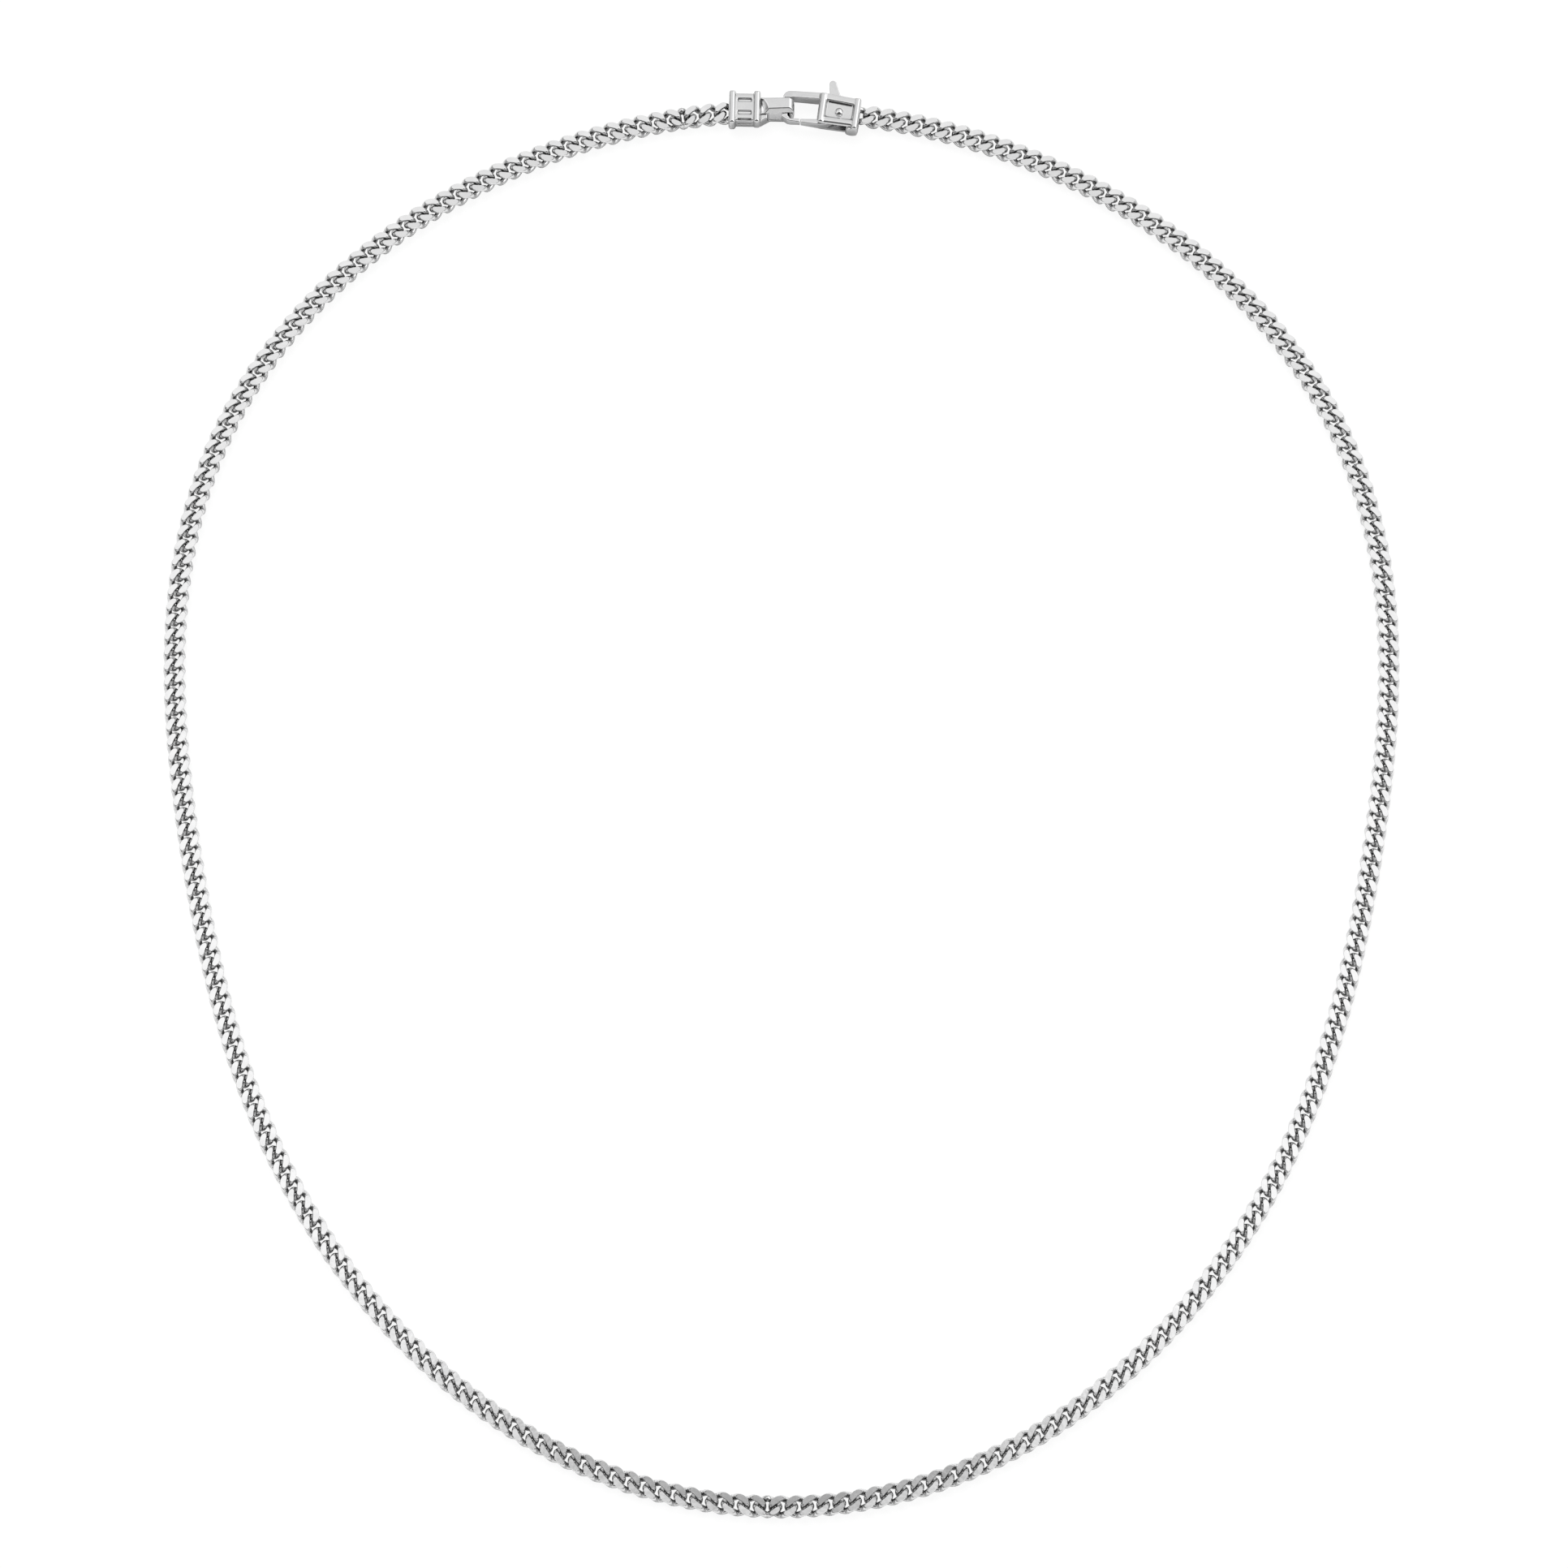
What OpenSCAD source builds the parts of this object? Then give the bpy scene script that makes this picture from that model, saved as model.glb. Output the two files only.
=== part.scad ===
/* [Chain] */
// Width of the curb chain across its links
chain_w = 2.7; // [2.4:0.1:3]
// Thickness of the chain between its filed flats
chain_t = 1.7; // [1.5:0.1:2.2]
/* [Loop] */
// Mean radius of the closed loop as it lies
loop_r = 80.9; // [75:0.1:90]
// How much the loop is drawn out lengthwise into an oval
loop_oval = 6.8; // [4:0.1:9]
// How much the oval narrows towards the front of the neck
loop_taper = 2.8; // [0:0.1:4]
/* [End cap] */
// Length of the end cap along the chain
cap_l = 4; // [3.8:0.1:4.2]
// Height of the end cap's ribs across the chain
cap_h = 4.3; // [4.2:0.02:4.4]
// Thickness of the end cap from its underside to its face
cap_t = 2.87; // [2.8:0.01:3]
// Width of each raised rib
rib_w = 0.92; // [0.8:0.02:1]
// Reach of the flat bail beyond the end cap
bail_l = 4.2; // [4:0.05:4.3]
/* [Lobster clasp] */
// Turn of the clasp on the surface, in degrees
clasp_turn = -8; // [-10:1:-6]
// Length of the housing that holds the lever
house_l = 5.25; // [5.2:0.05:5.3]
// Thickness of the housing
house_t = 2.9; // [2.8:0.05:3]
// Reach of the claw beyond the housing
claw_l = 4.58; // [4.5:0.02:4.6]
// Thickness of the lever with its gate and thumb tab
lever_t = 1.5; // [1.3:0.1:1.5]
// Radius of the lever's rivet
pin_r = 0.45; // [0.4:0.01:0.5]
/* [Hidden] */
silver = "silver";
pale_silver = "gainsboro";

// Finer shape of the loop: its flattened shoulders and its small unevenness
loop_shoulder = -0.4;
loop_lean = -0.1;
loop_wave = 0.3;
// The chain's tube: rings along its length, sides of its section, and the share of the
// section's width and thickness that is flat
tube_rings = 80;
tube_sides = 8;
flat_share = 0.5;
side_share = 0.4;

// Where the end cap and the lever's rivet sit, measured from the middle of the loop
cap_x = -4.62;
cap_y = 84.83;
cap_turn = -1.2;
pivot_x = 7.19;
pivot_y = 84.16;
// Clearances between pieces, round the rivet, and the overlap that makes clean cuts
seat_gap = 0.35;
play = 0.1;
pin_play = 0.05;
pin_fit = 0.02;
eps = 0.05;
// Facets of round features
fine = 48;

// Distance from the middle of the loop to the chain, and the point there, at angle a
// from the front of the neck
function reach(a) = loop_r + loop_oval * cos(2 * a) + loop_taper * cos(3 * a)
    + loop_shoulder * cos(4 * a) + loop_lean * cos(5 * a) + loop_wave * cos(6 * a);
function route(a) = [reach(a) * sin(a), -reach(a) * cos(a)];
// Direction of the chain at angle a
nudge = 0.5;
function heading(a) = let (d = route(a + nudge) - route(a - nudge)) d / norm(d);
// Corners of the chain's section: outwards across the chain, then up
function section() = let (
    w = chain_w / 2, flat = w * flat_share, t = chain_t / 2, side = t * side_share)
    [[w, -side], [w, side], [flat, t], [-flat, t], [-w, side], [-w, -side], [-flat, -t], [flat, -t]];
function chain_point(a, c) = let (p = route(a), d = heading(a))
    [p[0] + d[1] * c[0], p[1] - d[0] * c[0], chain_t / 2 + c[1]];

// The two ends of the chain, close to the end cap and to the housing
house_right = 2.6;
house_left = house_right - house_l;
chain_left_x = cap_x - cap_l / 2 - seat_gap;
chain_right_x = pivot_x + (house_right + seat_gap) * cos(clasp_turn);
chain_from = -180 + atan(-chain_left_x / reach(180));
chain_to = 180 - atan(chain_right_x / reach(180));
chain_step = (chain_to - chain_from) / (tube_rings - 1);

// Thumb tab: its round tip, measured from the rivet
tab_x = -1.25;
tab_y = 3.68;
tab_r = 0.48;
// The loop is moved so that the middle of the whole piece is the origin
top_y = pivot_y + tab_x * sin(clasp_turn) + tab_y * cos(clasp_turn) + tab_r;
front_y = -reach(0) - chain_w / 2;
shift_y = -(top_y + front_y) / 2;

// Box between two corners
module block(from, to) {
    translate(from) cube(to - from);
}

// Rectangle between two corners, with round corners
module round_rect(from, to, r) {
    translate([from[0] + r, from[1]]) square([to[0] - from[0] - 2 * r, to[1] - from[1]]);
    translate([from[0], from[1] + r]) square([to[0] - from[0], to[1] - from[1] - 2 * r]);
    for (x = [from[0] + r, to[0] - r], y = [from[1] + r, to[1] - r])
        translate([x, y]) circle(r, $fn = fine);
}

// A flat outline drawn in X and Z, made solid between two places along Y
module along_y(y0, y1) {
    translate([0, y1, 0]) rotate([90, 0, 0]) linear_extrude(y1 - y0) children();
}

// A flat outline drawn in Y and Z, made solid between two places along X
module along_x(x0, x1) {
    translate([x0, 0, 0]) rotate([90, 0, 90]) linear_extrude(x1 - x0) children();
}

// Raised band round a box, between two corners, half round across its width
module rib(from, to) {
    band_r = (to[0] - from[0]) * 0.46;
    plan_r = 0.9 * band_r;
    edge_r = 0.3;
    intersection() {
        along_y(from[1], to[1]) round_rect([from[0], from[2]], [to[0], to[2]], band_r);
        translate([0, 0, from[2]]) linear_extrude(to[2] - from[2])
            round_rect([from[0], from[1]], [to[0], to[1]], plan_r);
        along_x(from[0], to[0]) round_rect([from[1], from[2]], [to[1], to[2]], edge_r);
    }
}

// Mouth that takes the last link of the chain, with the bar that the link turns round
cap_mouth = -0.2;
cap_bar = -1.45;
mouth_low = 0.3;
mouth_top = 1.8;
mouth_half = 1.2;
bar_r = 0.26;

module mouth(x0, x1, y) {
    block([x0, y - mouth_half, mouth_low], [x1, y + mouth_half, mouth_top]);
}

module link_bar(x, y) {
    translate([x, y, mouth_low - eps])
        cylinder(mouth_top - mouth_low + 2 * eps, r = bar_r, $fn = fine);
}

module in_cap() {
    translate([cap_x, cap_y + shift_y, 0]) rotate(cap_turn) children();
}

module in_clasp() {
    translate([pivot_x, pivot_y + shift_y, 0]) rotate(clasp_turn) children();
}

module chain() {
    last = tube_rings - 1;
    n = tube_sides;
    color(silver)
    translate([0, shift_y, 0])
    polyhedron(
        points = [for (i = [0:last], c = section()) chain_point(chain_from + i * chain_step, c)],
        faces = concat(
            [[for (k = [0:n - 1]) n - 1 - k]],
            [[for (k = [0:n - 1]) last * n + k]],
            [for (i = [0:last - 1], k = [0:n - 1])
                [i * n + k, i * n + (k + 1) % n, (i + 1) * n + (k + 1) % n, (i + 1) * n + k]]));
}

// End cap between its ribs
core_y = 1.83;
core_low = 0.15;
core_top = 2.65;
core_edge = 0.25;
// Grooves in its face and along its sides: half their length, and their depths
groove_x = 0.88;
groove_d = 0.28;
step_d = 0.12;
// The rib beside the bail starts higher and is shorter
rib_short = 0.15;
rib_low = 0.3;
// Lower and upper edge of each groove in the face, and its depth
face_grooves = [[0.72, 1.12, groove_d], [-1, -0.5, step_d], [-1.75, -1.55, groove_d]];
side_low = 1.2;
side_top = 1.45;

module cap_core(half) {
    difference() {
        along_x(-half, half) round_rect([-core_y, core_low], [core_y, core_top], core_edge);
        for (g = face_grooves)
            block([-groove_x, g[0], core_top - g[2]], [groove_x, g[1], core_top + eps]);
        for (y = [-core_y - eps, core_y - step_d])
            block([-groove_x, y, side_low], [groove_x, y + step_d + eps, side_top]);
    }
}

// Flat bail: its outline from above, from the side and from its end
bail_x0 = cap_l / 2 - 0.1;
bail_x1 = cap_l / 2 + bail_l;
bail_y0 = -0.98;
bail_y1 = 1.27;
bail_corner = 0.75;
bail_edge = 0.7;
bail_wall = 0.46;
bail_turn = 3;
tunnel_low = 0.5;
tunnel_top = 2.32;
tunnel_end = 0.85;
tunnel_r = 0.3;
neck_y = -1.7;
neck_l = 1.15;
// Hollow that runs down from the bail's face to the cap
scoop_r = 2.9;
scoop_at = [0.95, -0.5, 4.9];

module bail_plan() {
    polygon([[bail_x0, bail_y1], [bail_x0, neck_y], [cap_l / 2, neck_y],
             [cap_l / 2 + neck_l, bail_y0], [cap_l / 2 + neck_l, bail_y1]]);
    round_rect([cap_l / 2, bail_y0], [bail_x1, bail_y1], bail_corner);
}

// Its lower edge has a bevel that ends in a crease
module bail_end() {
    polygon([[neck_y, 0], [neck_y, 2.05], [-0.75, 2.05], [-0.75, 2.4], [-0.25, cap_t],
             [1.05, cap_t], [bail_y1, 2.65], [3 * bail_y1, 2.65], [3 * bail_y1, 0]]);
}

module bail() {
    difference() {
        intersection() {
            linear_extrude(cap_t) bail_plan();
            along_y(-cap_h, cap_h) round_rect([0, 0], [bail_x1, cap_t], bail_edge);
            translate([cap_l / 2, 0, 0]) rotate(bail_turn) along_x(-1, bail_l + 1) bail_end();
        }
        along_y(-cap_h, cap_h)
            round_rect([cap_l / 2 + tunnel_end, tunnel_low], [bail_x1 - bail_wall, tunnel_top], tunnel_r);
        intersection() {
            translate(scoop_at) sphere(scoop_r, $fn = fine);
            block([cap_l / 2 - rib_w / 2, -cap_h, 0], [bail_x1, cap_h, cap_t + eps]);
        }
    }
}

module end_cap() {
    color(silver) in_cap() {
        difference() {
            union() {
                cap_core(cap_l / 2 - rib_w / 2);
                rib([-cap_l / 2, -cap_h / 2, 0], [-cap_l / 2 + rib_w, cap_h / 2, cap_t]);
                rib([cap_l / 2 - rib_w, -cap_h / 2 + rib_short, rib_low], [cap_l / 2, cap_h / 2, cap_t]);
                bail();
            }
            mouth(-cap_l, cap_mouth, 0);
        }
        link_bar(cap_bar, 0);
    }
}

// Housing of the lobster clasp: two cheeks held by two ribs, with the lever's slot between
slot_low = house_t / 2 - lever_t / 2 - play;
slot_top = house_t / 2 + lever_t / 2 + play;
cheek_low = 0.12;
cheek_y0 = -1.7;
cheek_y1 = 2.12;
panel_z = 2.5;
rail_top = 2.78;
rail_in = 0.9;
rail_edge = 0.3;
sharp_edge = 0.15;
rail_turn = -3.5;
line_x = 1.5;
line_w = 0.16;
rib_left = 1;
left_top = 2.25;
right_top = 2.12;
right_low = 0.35;
// Lobe that closes the slot beside the right rib
foot_x = 1.02;
foot_y = -2.02;
foot_top = 2.3;
foot_r = 0.75;
// Height above the rivet where the left rib's fork for the gate ends
fork_y = 0.35;
// Where the last link enters the right rib
link_y = 0.46;
link_in = 0.4;

// Rounded rail along an edge of the housing's face
module rail(y, turn, edge) {
    translate([0, y + rail_in / 2, 0]) rotate(turn)
        along_x(house_left + rib_left / 2, house_right - rib_w / 2)
            round_rect([-rail_in / 2, 1], [rail_in / 2, rail_top], edge);
}

module housing() {
    inner_x = house_right - rib_w;
    line_y = cheek_y1 - rail_in;
    difference() {
        union() {
            block([house_left + rib_left / 2, cheek_y0, cheek_low],
                  [house_right - rib_w / 2, cheek_y1, panel_z]);
            rail(cheek_y0, 0, rail_edge);
            rail(cheek_y1 - rail_in, rail_turn, sharp_edge);
            rib([house_left, cheek_y0, 0], [house_left + rib_left, left_top, house_t]);
            rib([inner_x, foot_y, right_low], [house_right, right_top, house_t]);
            along_y(foot_y, foot_y + 1)
                round_rect([foot_x, 0], [house_right - 0.1, foot_top], foot_r);
        }
        // Slot for the lever, open to both sides and through the left rib's fork
        block([house_left + rib_left - eps, foot_y + 1, slot_low], [inner_x, cap_h, slot_top]);
        block([house_left - eps, -cap_h, slot_low], [foot_x + play, foot_y + 1 + eps, slot_top]);
        block([house_left - eps, -cap_h, slot_low], [house_left + rib_left, fork_y, slot_top]);
        // Line beside the upper rail
        translate([0, line_y, 0]) rotate(rail_turn)
            block([-line_x, -line_w, panel_z - step_d], [line_x, 0, panel_z + eps]);
        cylinder(3 * house_t, r = pin_r + pin_fit, center = true, $fn = fine);
        mouth(inner_x - eps, house_right + eps, link_y);
    }
    link_bar(house_right - link_in, link_y);
}

// Claw: its long arm, the bar that the bail hangs on, and the tip that meets the gate
claw_x = house_left - claw_l;
arm_w = 0.86;
arm_y = 1.42;
arm_drop = 0.24;
arm_z0 = 0.32;
arm_z1 = 0.5;
corner_r = 0.86;
bar_w = 0.86;
bar_low = 0.62;
bar_top = 2.2;
tip_x = -4.78;
tip_y0 = -1.88;
tip_y1 = -1.42;
tip_low = 0.95;

// The arm runs a little down from the housing to the claw's round corner, and thins there
module claw_arm() {
    bend_x = claw_x + corner_r;
    end_y = arm_y - arm_drop;
    intersection() {
        linear_extrude(house_t) {
            polygon([[house_left + rib_left / 2, arm_y], [house_left + rib_left / 2, arm_y + arm_w],
                     [bend_x, end_y + arm_w], [bend_x, end_y]]);
            intersection() {
                translate([bend_x, end_y + arm_w - corner_r]) circle(corner_r, $fn = fine);
                translate([claw_x, end_y]) square([corner_r, corner_r]);
            }
        }
        along_y(0, cap_h)
            polygon([[claw_x, bar_low], [claw_x + 1.1, arm_z1], [house_left + rib_left, arm_z0],
                     [house_left + rib_left, house_t - arm_z0], [claw_x + 1.1, house_t - arm_z1],
                     [claw_x, bar_top]]);
    }
}

// The tip tapers from below towards the claw's outer end, as the gate does
module claw_hook() {
    intersection() {
        linear_extrude(bar_top)
            polygon([[claw_x, arm_y], [claw_x + 0.14, tip_y1], [claw_x + 0.9, tip_y0 + 0.08],
                     [claw_x + 1.3, tip_y0], [tip_x + 0.1, tip_y0], [tip_x, tip_y1],
                     [claw_x + 1.2, tip_y1 - 0.06], [claw_x + bar_w, -1.1], [claw_x + bar_w - 0.12, 0.9],
                     [claw_x + corner_r, arm_y - arm_drop], [claw_x + corner_r, arm_y]]);
        along_y(-cap_h, cap_h)
            polygon([[claw_x, bar_low], [claw_x + 1, bar_low], [tip_x - 0.3, tip_low],
                     [tip_x + 1, tip_low], [tip_x + 1, bar_top], [claw_x, bar_top]]);
    }
}

module clasp_body() {
    color(silver) in_clasp() {
        housing();
        claw_arm();
        claw_hook();
    }
}

// Lever: hub, thumb tab and the gate that closes the claw
hub_r = 0.92;
gate_gap = 0.08;
gate_x = tip_x + gate_gap;
gate_y0 = -1.86;
gate_y1 = -1.15;

module lever_plan() {
    difference() {
        union() {
            circle(hub_r, $fn = fine);
            // Thumb tab, leaning towards the gate
            translate([tab_x, tab_y]) circle(tab_r, $fn = fine);
            polygon([[tab_x - tab_r, tab_y], [-1.32, 1.5], [-hub_r, 0], [hub_r, 0], [0.35, 1.3],
                     [tab_x + tab_r, tab_y]]);
            // Gate and the arm that carries it, which leaves the slot open beside the rivet
            polygon([[gate_x + 0.1, gate_y0], [-2.5, gate_y0], [-1.5, -1.68], [-0.4, -1.25],
                     [0.4, -0.85], [hub_r, 0], [-hub_r, 0], [-1.65, -0.95], [-2.5, gate_y1],
                     [gate_x, tip_y1]]);
        }
        circle(pin_r + pin_play, $fn = fine);
    }
}

module clasp_lever() {
    low = (house_t - lever_t) / 2;
    color(pale_silver) in_clasp() intersection() {
        translate([0, 0, low]) linear_extrude(lever_t) lever_plan();
        along_y(-cap_h, 2 * cap_h)
            polygon([[gate_x - 1, tip_low], [gate_x, tip_low], [-2.4, low], [house_right, low],
                     [house_right, low + lever_t], [gate_x - 1, low + lever_t]]);
    }
}

// Rivet with a round head on the sunk panel
head_r = 0.6;
head_h = 0.38;
head_z = panel_z + pin_fit;

module lever_pin() {
    dome_r = (head_r * head_r + head_h * head_h) / (2 * head_h);
    color(pale_silver) in_clasp() {
        translate([0, 0, cheek_low]) cylinder(head_z - cheek_low, r = pin_r, $fn = fine);
        intersection() {
            translate([0, 0, head_z + head_h - dome_r]) sphere(dome_r, $fn = fine);
            translate([0, 0, head_z]) cylinder(head_h, r = head_r, $fn = fine);
        }
    }
}

chain();
end_cap();
clasp_body();
clasp_lever();
lever_pin();
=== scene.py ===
"""Looks of the curb chain necklace: its links, its soft-edged clasp, polished silver and a light studio."""
import math
import random

import bmesh
import bpy
import numpy as np
from mathutils import Matrix, Vector


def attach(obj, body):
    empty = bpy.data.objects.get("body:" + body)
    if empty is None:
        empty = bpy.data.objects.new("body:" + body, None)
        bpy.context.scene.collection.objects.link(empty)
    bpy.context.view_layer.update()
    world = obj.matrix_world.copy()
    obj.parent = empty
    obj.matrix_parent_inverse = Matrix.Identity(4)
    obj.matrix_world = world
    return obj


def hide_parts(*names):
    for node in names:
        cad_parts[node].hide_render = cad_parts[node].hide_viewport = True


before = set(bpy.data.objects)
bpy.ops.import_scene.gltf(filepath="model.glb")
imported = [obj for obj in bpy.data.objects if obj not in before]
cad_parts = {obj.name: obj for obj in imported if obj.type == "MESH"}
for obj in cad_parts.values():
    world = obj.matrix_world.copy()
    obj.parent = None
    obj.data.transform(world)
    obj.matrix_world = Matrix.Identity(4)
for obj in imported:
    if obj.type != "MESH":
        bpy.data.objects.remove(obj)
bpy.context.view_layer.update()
random.seed(7)

# Millimetres in the scene's metres
MM = 0.001


def look_from_photo():
    """The photograph's camera: almost straight above, tilted towards the front of the neck."""
    photo_side = 1932
    focal_px = 7803
    sensor = 36
    tilt = math.radians(14)
    distance = 772.2 * MM
    target = Vector((0.3, -0.4, 0.95)) * MM
    data = bpy.data.cameras.new("camera")
    data.sensor_width = sensor
    data.lens = sensor * focal_px / photo_side
    data.clip_start = 0.01
    data.clip_end = 20
    camera = bpy.data.objects.new("camera", data)
    camera.location = target + Vector((0, -math.sin(tilt), math.cos(tilt))) * distance
    camera.rotation_euler = (tilt, 0, 0)
    bpy.context.scene.collection.objects.link(camera)
    bpy.context.scene.camera = camera


look_from_photo()
bpy.context.scene.view_settings.view_transform = "Standard"


# Materials

class Nodes:
    """Short calls for building a node tree."""

    def __init__(self, tree):
        self.tree = tree
        tree.nodes.clear()

    def add(self, kind, **settings):
        node = self.tree.nodes.new(kind)
        for name, value in settings.items():
            setattr(node, name, value)
        return node

    def join(self, source, target):
        self.tree.links.new(source, target)

    def feed(self, socket, value):
        if isinstance(value, bpy.types.NodeSocket):
            self.join(value, socket)
        else:
            socket.default_value = value

    def maths(self, operation, *values):
        node = self.add("ShaderNodeMath", operation=operation)
        for socket, value in zip(node.inputs, values):
            self.feed(socket, value)
        return node.outputs[0]

    def ramp(self, value, span, results):
        """value over a span from low to high, as results from the first to the second, with soft ends."""
        node = self.add("ShaderNodeMapRange", interpolation_type="SMOOTHSTEP")
        for socket, number in zip(node.inputs, (value, *span, *results)):
            self.feed(socket, number)
        return node.outputs[0]

    def noise(self, place, scale, detail):
        node = self.add("ShaderNodeTexNoise")
        self.join(place, node.inputs["Vector"])
        node.inputs["Scale"].default_value = scale
        node.inputs["Detail"].default_value = detail
        return node.outputs["Fac"]


def grey(tone):
    return (tone, tone, tone, 1)


# Polished silver: clouds in its gloss, hairlines that the polishing left, drawn out one way, and shallow
# waves. Each is noise with a scale and a detail
CLOUDS = (900, 3)
HAIRLINES = (2500, 3)
HAIRLINE_TURN = (0.3, 0.2, 0.6)
HAIRLINE_STRETCH = (1, 14, 1)
WAVES = (1400, 1)
# The spans of the noise that change its tone and its roughness, the cloudy silver's tone against the
# clear one, the hairlines' share in the roughness and in the dents, and the depth of the dents
CLOUD_SPAN = (0.35, 0.65)
ROUGH_SPAN = (0.45, 0.9)
CLOUDY = (0.96, 0.96, 0.965)
HAIRLINE_ROUGH = 0.35
HAIRLINE_DENT = 0.12
DENT = 0.004 * MM


def silver(name, tone, crease_shade_tone, roughness):
    """Polished silver, with its roughness from low to high. A painted shade darkens its base colour in the
    creases:
    the third argument is its tone there, where the attribute open is 0."""
    material = bpy.data.materials.new(name)
    material.use_nodes = True
    n = Nodes(material.node_tree)
    place = n.add("ShaderNodeTexCoord").outputs["Object"]
    stretched = n.add("ShaderNodeMapping")
    n.join(place, stretched.inputs["Vector"])
    stretched.inputs["Rotation"].default_value = HAIRLINE_TURN
    stretched.inputs["Scale"].default_value = HAIRLINE_STRETCH
    clouds = n.noise(place, *CLOUDS)
    hairlines = n.noise(stretched.outputs["Vector"], *HAIRLINES)
    waves = n.noise(place, *WAVES)

    shader = n.add("ShaderNodeBsdfPrincipled")
    colour = n.add("ShaderNodeMix", data_type="RGBA")
    n.join(n.ramp(clouds, CLOUD_SPAN, (0, 1)), colour.inputs["Factor"])
    colour.inputs["A"].default_value = grey(tone)
    colour.inputs["B"].default_value = (*(tone * share for share in CLOUDY), 1)
    # Painted shade: the base colour darkens to the creases' tone where the attribute open is 0
    crease_shaded = n.add("ShaderNodeMix", data_type="RGBA")
    n.join(n.add("ShaderNodeAttribute", attribute_name="open").outputs["Fac"], crease_shaded.inputs["Factor"])
    crease_shaded.inputs["A"].default_value = grey(crease_shade_tone)
    n.join(colour.outputs["Result"], crease_shaded.inputs["B"])
    n.join(crease_shaded.outputs["Result"], shader.inputs["Base Color"])
    shader.inputs["Metallic"].default_value = 1
    worn = n.maths("MULTIPLY_ADD", hairlines, HAIRLINE_ROUGH, clouds)
    n.join(n.ramp(worn, ROUGH_SPAN, roughness), shader.inputs["Roughness"])
    bump = n.add("ShaderNodeBump")
    bump.inputs["Strength"].default_value = 1
    bump.inputs["Distance"].default_value = DENT
    n.join(n.maths("MULTIPLY_ADD", hairlines, HAIRLINE_DENT, waves), bump.inputs["Height"])
    n.join(bump.outputs["Normal"], shader.inputs["Normal"])
    n.join(shader.outputs[0], n.add("ShaderNodeOutputMaterial").inputs["Surface"])
    return material


# Each silver's second tone is the painted shade in its creases
CHAIN_SILVER = silver("chain_silver", tone=0.95, crease_shade_tone=0.28, roughness=(0.05, 0.12))
CLASP_SILVER = silver("clasp_silver", tone=0.88, crease_shade_tone=0.26, roughness=(0.08, 0.16))


# The chain's route on the surface, as in the part: distance from the middle at an angle from
# the front of the neck, all in millimetres

LOOP_R = 80.9
LOOP_WAVES = {2: 6.8, 3: 2.8, 4: -0.4, 5: -0.1, 6: 0.3}
SHIFT_Y = 1.596
# Place and turn of the end cap and of the lever's rivet, and in those two frames the middles of the bars
# that hold the chain's ends, with half the width of a bar
CAP = (-4.62, 84.83, -1.2)
PIVOT = (7.19, 84.16, -8)
CAP_BAR = (-1.45, 0)
HOUSE_BAR = (2.2, 0.46)
BAR_R = 0.26

# Curb link: its pitch and wire, the thickness that it is filed to, half the length and width of its oval
# centreline and how full the oval is
PITCH = 1.8975
WIRE = 0.78
CHAIN_T = 1.7
LINK_L = 1.385
LINK_W = 0.95
LINK_POWER = 1.8
# The height that its pressed bars tend to, how soon they rise along and across the link, and how
# sharply they level off
RISE = 0.88
RISE_ALONG = 0.21
RISE_ACROSS = 0.25
RISE_POWER = 1.3
# Where the bars of a link between opposite twists pass the mid-plane, and how softly
CHANGE_DIP = 0.25
CHANGE_ROUND = 0.12
# Corners round the wire, rings along it, and the fine points to each ring that space the rings evenly
SIDES = 20
STEPS = 60
FINE = 40
# Filing a flat: the tolerance of the cut, the distance within which corners of its rim become one, and
# the rounding of its edge
CUT = 0.00001
MERGE = 0.012
POLISH = 0.025
# A face is a filed flat where its normal's upright share is above this
LEVEL = 0.9999
# The filed flats lean a little towards the middle of the chain, by this rise over run
FLAT_LEAN = 0.011
# Painted shade darkens the silver in the creases, this close to the next link
CREASE = 0.65
# In the end cap or the housing a link is pressed flatter and narrower, over this stretch of its length
HELD_RISE = 0.12
HELD_WIDTH = 0.8
HELD_FROM = -LINK_L / 3
HELD_TO = LINK_L / 10
# Free play inside a link round what it holds, and how far a link may lean about its length, in degrees
SLACK = 0.04
LINK_LEAN = 0.5
# Where the way in which the links are turned changes, as angles from the front of the neck
TURN_CHANGES = (-172.1, -1.2)
# Points that the route is measured with, and objects that the links are joined into
ROUTE_POINTS = 6000
LINK_GROUPS = 5


def reach(angle):
    return LOOP_R + sum(size * math.cos(n * angle) for n, size in LOOP_WAVES.items())


def route(angle):
    r = reach(angle)
    return np.array((r * math.sin(angle), -r * math.cos(angle) + SHIFT_Y))


def in_turned(frame_of, point):
    """A point of the end cap or the clasp, in the necklace's own frame."""
    x, y, turn = frame_of
    c, s = math.cos(math.radians(turn)), math.sin(math.radians(turn))
    return np.array((x + point[0] * c - point[1] * s, y + SHIFT_Y + point[0] * s + point[1] * c))


def eased(x):
    """Rises in proportion at first, then levels off at 1."""
    return x / (1 + np.abs(x) ** RISE_POWER) ** (1 / RISE_POWER)


def smooth_share(share):
    """A share from 0 to 1 with soft ends."""
    share = np.clip(share, 0, 1)
    return share * share * (3 - 2 * share)


def length_gone(points):
    """The length gone at each of a line's points."""
    return np.r_[0, np.cumsum(np.linalg.norm(np.diff(points, axis=0), axis=1))]


def regular(along, across):
    """A twisted link: each bar rises from the lower face to the upper one."""
    return across, RISE * eased(along / RISE_ALONG) * eased(across / RISE_ACROSS)


def changing(along, across):
    """The link between those turned one way and those turned the other: each bar dips or rises at its
    middle and comes back."""
    aside = np.hypot(along, CHANGE_ROUND) - CHANGE_DIP
    return across, -RISE * eased(aside / RISE_ALONG) * eased(across / RISE_ACROSS)


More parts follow.
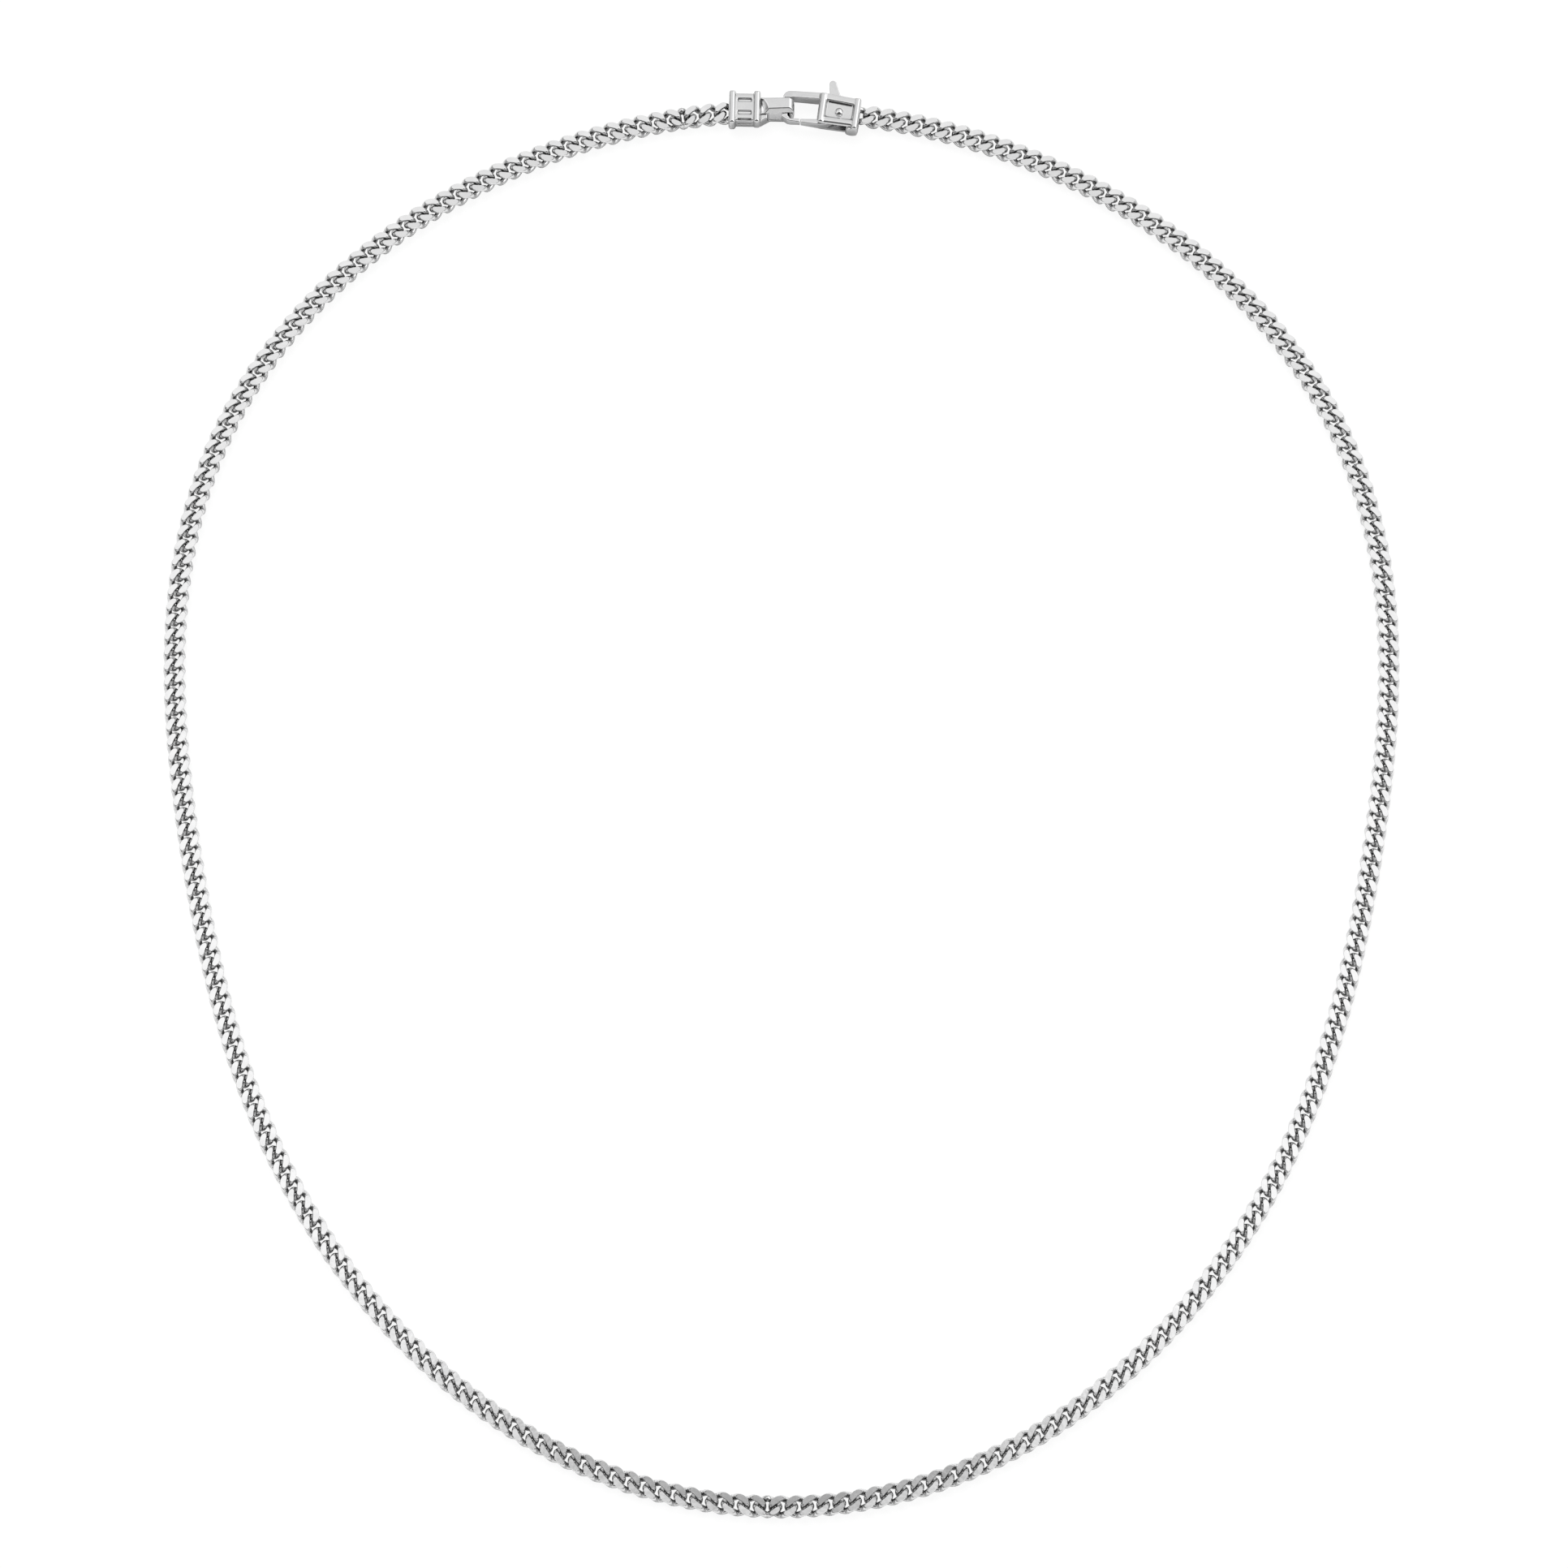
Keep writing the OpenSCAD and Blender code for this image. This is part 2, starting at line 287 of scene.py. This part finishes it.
def held(side):
    """An end link, pressed flatter and narrower on the side that a holder takes."""
    def form(along, across):
        across, height = regular(along, across)
        inside = np.interp(along * side, (HELD_FROM, HELD_TO), (0, 1))
        return across * (1 - inside * (1 - HELD_WIDTH)), height * np.where(along * side > 0, HELD_RISE, 1)
    return form


def centreline(form):
    """Even points round a link's centreline."""
    angles = np.linspace(0, 2 * math.pi, FINE * STEPS + 1)
    c, s = np.cos(angles), np.sin(angles)
    along = LINK_L * np.sign(c) * np.abs(c) ** (2 / LINK_POWER)
    across = LINK_W * np.sign(s) * np.abs(s) ** (2 / LINK_POWER)
    across, height = form(along, across)
    fine = np.stack([along, across, height], 1)
    gone = length_gone(fine)
    even = np.linspace(0, gone[-1], STEPS, endpoint=False)
    return np.stack([np.interp(even, gone, fine[:, i]) for i in range(3)], 1)


def link_mesh(form, hand):
    """One link in millimetres, lengthwise along X: corners, faces, which faces are filed flat, and how
    open each corner of each face lies."""
    middle = centreline(form) * (1, 1, hand)
    way = np.roll(middle, -1, 0) - np.roll(middle, 1, 0)
    way /= np.linalg.norm(way, axis=1)[:, None]
    outward = middle - way * np.sum(middle * way, axis=1)[:, None]
    outward /= np.linalg.norm(outward, axis=1)[:, None]
    up = np.cross(way, outward)
    turns = np.linspace(0, 2 * math.pi, SIDES, endpoint=False)[:, None]
    bm = bmesh.new()
    rings = []
    for i in range(STEPS):
        ring = middle[i] + WIRE / 2 * (outward[i] * np.cos(turns) + up[i] * np.sin(turns))
        rings.append([bm.verts.new(corner) for corner in ring])
    for i in range(STEPS):
        here, there = rings[i], rings[(i + 1) % STEPS]
        for k in range(SIDES):
            j = (k + 1) % SIDES
            bm.faces.new((here[k], here[j], there[j], there[k]))
    bmesh.ops.recalc_face_normals(bm, faces=bm.faces)
    for sign in (1, -1):
        file_flat(bm, sign)
    bmesh.ops.triangulate(bm, faces=[f for f in bm.faces if len(f.verts) > 4])
    bm.verts.index_update()
    corners = np.array([v.co for v in bm.verts])
    corners[:, 2] *= 1 + FLAT_LEAN * (np.abs(corners[:, 1]) - LINK_W / 2) / (CHAIN_T / 2)
    # Sorted, because the bevel gives its faces in another order each run
    faces, flats = zip(*sorted(([v.index for v in f.verts], abs(f.normal.z) > LEVEL) for f in bm.faces))
    bm.free()
    # How open each corner lies sets the painted shade in the creases; the filed flats are left unshaded
    open_to = openness(corners, hand)
    open_corners = [1.0 if flat else open_to[i] for face, flat in zip(faces, flats) for i in face]
    return corners, faces, flats, open_corners


def openness(corners, hand):
    """How open each corner lies, from 0 where a neighbouring link touches to 1 at CREASE and beyond."""
    middle = centreline(regular) * (1, 1, hand)
    beside = np.vstack([middle + (shift * PITCH, 0, 0) for shift in (-2, -1, 1, 2)])
    near = np.linalg.norm(corners[:, None] - beside[None], axis=2).min(axis=1)
    return smooth_share((near - WIRE / 2) / CREASE)


def file_flat(bm, sign):
    """Files the link down to half the chain's thickness, and polishes the edge."""
    height = sign * CHAIN_T / 2
    bmesh.ops.bisect_plane(bm, geom=bm.verts[:] + bm.edges[:] + bm.faces[:], dist=CUT,
                           plane_co=(0, 0, height), plane_no=(0, 0, sign), clear_outer=True)
    bmesh.ops.remove_doubles(bm, verts=[v for v in bm.verts if v.is_boundary], dist=MERGE)
    rim = [e for e in bm.edges if e.is_boundary]
    bmesh.ops.holes_fill(bm, edges=rim)
    bmesh.ops.recalc_face_normals(bm, faces=bm.faces)
    bmesh.ops.bevel(bm, geom=rim, offset=POLISH, segments=2, profile=0.5, affect="EDGES",
                    clamp_overlap=True)


def measured_route():
    """Fine points along the route and the length gone at each, from the end cap round to the housing."""
    start, end = in_turned(CAP, CAP_BAR), in_turned(PIVOT, HOUSE_BAR)
    inner = LINK_L - WIRE / 2 - BAR_R - SLACK
    first = -math.pi + math.atan2(-start[0] + inner, reach(math.pi))
    last = math.pi - math.atan2(end[0] + inner, reach(math.pi))
    angles = np.linspace(first, last, ROUTE_POINTS)
    points = np.array([route(a) for a in angles])
    return angles, points, length_gone(points)


def chain_links():
    """Where each link sits, its direction, and its form's name and hand."""
    angles, points, gone = measured_route()
    count = round(gone[-1] / PITCH) + 1
    places = np.linspace(0, gone[-1], count)
    at = np.degrees(np.interp(places, gone, angles))
    changes = [int(np.argmin(abs(at - angle))) for angle in TURN_CHANGES]

    def point_at(length):
        return np.array([np.interp(length, gone, points[:, i]) for i in (0, 1)])

    hand = -1
    links = []
    for k, s in enumerate(places):
        ahead = point_at(min(s + PITCH / 2, gone[-1]))
        behind = point_at(max(s - PITCH / 2, 0))
        way = (ahead - behind) / np.linalg.norm(ahead - behind)
        if k in changes:
            form = ("changing", hand)
            hand = -hand
        elif k in (0, count - 1):
            form = ("first" if k == 0 else "last", hand)
        else:
            form = ("regular", hand)
        links.append((point_at(s), way, form))
    return links


def joined(name, parts):
    """One object from (corners, faces, flats, openness) parts in millimetres."""
    corners = np.vstack([p[0] for p in parts]) * MM
    faces, smooth, openings, base = [], [], [], 0
    for part_corners, part_faces, part_flats, part_openings in parts:
        faces += [[base + i for i in face] for face in part_faces]
        smooth += [not flat for flat in part_flats]
        openings += part_openings
        base += len(part_corners)
    mesh = bpy.data.meshes.new(name)
    mesh.from_pydata(corners.tolist(), [], faces)
    mesh.polygons.foreach_set("use_smooth", smooth)
    # The attribute open carries the painted shade of the creases
    mesh.attributes.new("open", "FLOAT", "CORNER").data.foreach_set("value", openings)
    mesh.update()
    piece = bpy.data.objects.new(name, mesh)
    bpy.context.scene.collection.objects.link(piece)
    return piece


def make_chain():
    forms = {}
    for hand in (1, -1):
        forms["regular", hand] = link_mesh(regular, hand)
        forms["changing", hand] = link_mesh(changing, hand)
        forms["first", hand] = link_mesh(held(-1), hand)
        forms["last", hand] = link_mesh(held(1), hand)
    parts = []
    for centre, way, form in chain_links():
        corners, faces, flats, openings = forms[form]
        lean = math.radians(random.uniform(-LINK_LEAN, LINK_LEAN))
        across = np.array((-way[1], way[0]))
        y = corners[:, 1] * math.cos(lean) - corners[:, 2] * math.sin(lean)
        z = corners[:, 1] * math.sin(lean) + corners[:, 2] * math.cos(lean)
        plan = centre + corners[:, :1] * way + y[:, None] * across
        parts.append((np.column_stack([plan, z - z.min()]), faces, flats, openings))
    size = math.ceil(len(parts) / LINK_GROUPS)
    for g in range(LINK_GROUPS):
        piece = joined(f"links_{g + 1}", parts[g * size:(g + 1) * size])
        piece.data.materials.append(CHAIN_SILVER)
        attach(piece, "necklace")
        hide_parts("chain")


make_chain()


# The clasp's pieces with the soft edges of a polished casting, in millimetres: the grain of the copy, how
# strongly and how often its edges are worn, and the share of its faces that is kept

VOXEL = 0.035
SOFT_FACTOR = 0.5
SOFT_PASSES = 24
KEPT_FACES = 0.32
# Painted shade darkens the silver in inner corners, between these bends in one over millimetres, evened out
# over so many neighbouring corners
BENT_LITTLE = 0.5
BENT_MUCH = 3.5
BEND_PASSES = 4


def outer_share(mesh):
    """At each corner of the mesh, from 0 deep in an inner corner to 1 on flats and outer edges."""
    count = len(mesh.vertices)
    places, normals = np.empty(3 * count), np.empty(3 * count)
    mesh.vertices.foreach_get("co", places)
    mesh.vertex_normals.foreach_get("vector", normals)
    places, normals = places.reshape(-1, 3), normals.reshape(-1, 3)
    ends = np.empty(2 * len(mesh.edges), int)
    mesh.edges.foreach_get("vertices", ends)
    ends = ends.reshape(-1, 2)
    here, there = np.r_[ends[:, 0], ends[:, 1]], np.r_[ends[:, 1], ends[:, 0]]
    step = places[there] - places[here]
    bend = 2 * np.sum(step * normals[here], axis=1) / np.sum(step * step, axis=1)
    shared = np.bincount(here, minlength=count)
    bend = np.bincount(here, bend, count) / shared
    for _ in range(BEND_PASSES):
        bend = (bend + np.bincount(here, bend[there], count) / shared) / 2
    return smooth_share((BENT_MUCH - bend) / (BENT_MUCH - BENT_LITTLE))


def soft_piece(node, body, turn):
    """The node's own form with its edges worn round. turn is how it is turned on the surface, so that
    the grain of the copy runs along its faces."""
    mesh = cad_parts[node].data.copy()
    straight = Matrix.Rotation(-math.radians(turn), 4, "Z") @ Matrix.Scale(1 / MM, 4)
    mesh.transform(straight)
    piece = bpy.data.objects.new(f"{node}_soft", mesh)
    bpy.context.scene.collection.objects.link(piece)
    remesh = piece.modifiers.new("grain", "REMESH")
    remesh.mode = "VOXEL"
    remesh.voxel_size = VOXEL
    remesh.use_smooth_shade = True
    soften = piece.modifiers.new("worn", "SMOOTH")
    soften.factor = SOFT_FACTOR
    soften.iterations = SOFT_PASSES
    fewer = piece.modifiers.new("fewer", "DECIMATE")
    fewer.ratio = KEPT_FACES
    bpy.context.view_layer.update()
    worn = bpy.data.meshes.new_from_object(piece.evaluated_get(bpy.context.evaluated_depsgraph_get()))
    # The attribute open sets the painted shade in the inner corners
    worn.attributes.new("open", "FLOAT", "POINT").data.foreach_set("value", outer_share(worn))
    worn.transform(straight.inverted())
    worn.materials.clear()
    worn.materials.append(CLASP_SILVER)
    piece.modifiers.clear()
    piece.data = worn
    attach(piece, body)
    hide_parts(node)


soft_piece("end_cap", "necklace", CAP[2])
for node in ("clasp_body", "lever_pin"):
    soft_piece(node, "necklace", PIVOT[2])
soft_piece("clasp_lever", "lever", PIVOT[2])


# Studio: a pale table under a soft bright ceiling

TABLE_HALF = 3


def plain_surface(name, tone, glow):
    material = bpy.data.materials.new(name)
    material.use_nodes = True
    n = Nodes(material.node_tree)
    shader = n.add("ShaderNodeBsdfPrincipled")
    shader.inputs["Base Color"].default_value = grey(tone)
    shader.inputs["Roughness"].default_value = 0.9
    shader.inputs["Specular IOR Level"].default_value = 0.1
    shader.inputs["Emission Color"].default_value = grey(1)
    shader.inputs["Emission Strength"].default_value = glow
    n.join(shader.outputs[0], n.add("ShaderNodeOutputMaterial").inputs["Surface"])
    return material


def make_floor(name, depth, material):
    mesh = bpy.data.meshes.new(name)
    corners = [(x * TABLE_HALF, y * TABLE_HALF, 0) for x, y in ((-1, -1), (1, -1), (1, 1), (-1, 1))]
    mesh.from_pydata(corners, [], [(0, 1, 2, 3)])
    mesh.materials.append(material)
    floor = bpy.data.objects.new(name, mesh)
    floor.location.z = -depth
    bpy.context.scene.collection.objects.link(floor)
    return floor


def make_table():
    """A table that glows white, as the photograph's background, and the same table almost unlit of its
    own, shaded under the links, which only the silver mirrors."""
    glowing = make_floor("glowing_table", 0.02 * MM, plain_surface("glowing_white", tone=0.12, glow=0.9))
    glowing.visible_glossy = False
    mirrored = make_floor("mirrored_table", 0.01 * MM, plain_surface("plain_white", tone=0.73, glow=0.04))
    mirrored.visible_camera = False
    mirrored.visible_diffuse = False
    mirrored.visible_shadow = False


# The sky's places are slopes: how far aside a direction leads for each metre up. LOWEST keeps the slopes
# of level directions finite
LOWEST = 0.05
# The dark hood over the camera: its tip, how it widens towards the camera, the width of its soft edge at
# the tip and how that grows, and its light from the tip to deep inside
HOOD_X = -0.006
HOOD_Y = 0.127
HOOD_SPREAD = 1.3
HOOD_EDGE = (0.005, 0.085)
EDGE_GROWTH = 9
HOOD_DEPTH = (0, 0.4)
HOOD_LIGHT = (0.48, 0.1)
# In front, below the hood, the light comes back
FRONT_SPAN = (1.6, 2.6)
FRONT_LIGHT = (0, 1)
# The ceiling is bright, and greyer at the back
CEILING = 1.26
BACK_SPAN = (0.22, 0.42)
BACK_LIGHT = (1, 0.72)
# A window brightens the right, and low down it is darker, most of all at the sides
WINDOW_SPAN = (0.1, 0.4)
WINDOW_LIGHT = (1, 1.6)
LOW_SPAN = (0, 0.6)
LOW_LIGHT = (0.3, 1)
SIDE_SPAN = (1, 2.5)
SIDE_LIGHT = (1, 0.7)


def make_sky():
    """Soft light from above and behind, and some from low in front, with a window at the right. It is dark
    over the camera and greyer low down."""
    world = bpy.data.worlds.new("studio")
    bpy.context.scene.world = world
    world.use_nodes = True
    n = Nodes(world.node_tree)
    axes = n.add("ShaderNodeSeparateXYZ")
    n.join(n.add("ShaderNodeTexCoord").outputs["Generated"], axes.inputs[0])
    x, y, z = axes.outputs
    slant = n.maths("MAXIMUM", z, LOWEST)
    over_x = n.maths("DIVIDE", x, slant)
    over_y = n.maths("DIVIDE", y, slant)
    ahead = n.maths("MAXIMUM", n.maths("SUBTRACT", over_y, HOOD_Y), 0)
    behind = n.maths("MAXIMUM", n.maths("SUBTRACT", HOOD_Y, over_y), 0)
    across = n.maths("ABSOLUTE", n.maths("SUBTRACT", over_x, HOOD_X))
    away = n.maths("SQRT", n.maths("ADD", n.maths("POWER", across, 2), n.maths("POWER", ahead, 2)))
    aside = n.maths("DIVIDE", n.maths("SUBTRACT", away, n.maths("MULTIPLY", behind, HOOD_SPREAD)),
                    n.maths("MULTIPLY_ADD", behind, EDGE_GROWTH, 1))
    shade = n.maths("ADD", n.ramp(behind, HOOD_DEPTH, HOOD_LIGHT), n.ramp(behind, FRONT_SPAN, FRONT_LIGHT))
    hood = n.ramp(aside, HOOD_EDGE, (shade, CEILING))
    ceiling = n.maths("MULTIPLY", hood, n.ramp(over_y, BACK_SPAN, BACK_LIGHT))
    low_sides = n.ramp(n.maths("ABSOLUTE", over_x), SIDE_SPAN, SIDE_LIGHT)
    sides = n.maths("MULTIPLY", n.ramp(z, LOW_SPAN, LOW_LIGHT), low_sides)
    window = n.ramp(over_x, WINDOW_SPAN, WINDOW_LIGHT)
    light = n.maths("MULTIPLY", n.maths("MULTIPLY", ceiling, window), sides)
    background = n.add("ShaderNodeBackground")
    n.join(light, background.inputs["Strength"])
    n.join(background.outputs[0], n.add("ShaderNodeOutputWorld").inputs["Surface"])


def make_lamp():
    """A broad lamp above the back left, which the silver doesn't mirror."""
    data = bpy.data.lights.new("overhead", "SUN")
    data.angle = math.radians(45)
    data.energy = 2
    lamp = bpy.data.objects.new("overhead", data)
    lamp.rotation_euler = (math.radians(-34), math.radians(-15), 0)
    lamp.visible_glossy = False
    bpy.context.scene.collection.objects.link(lamp)


make_table()
make_sky()
make_lamp()
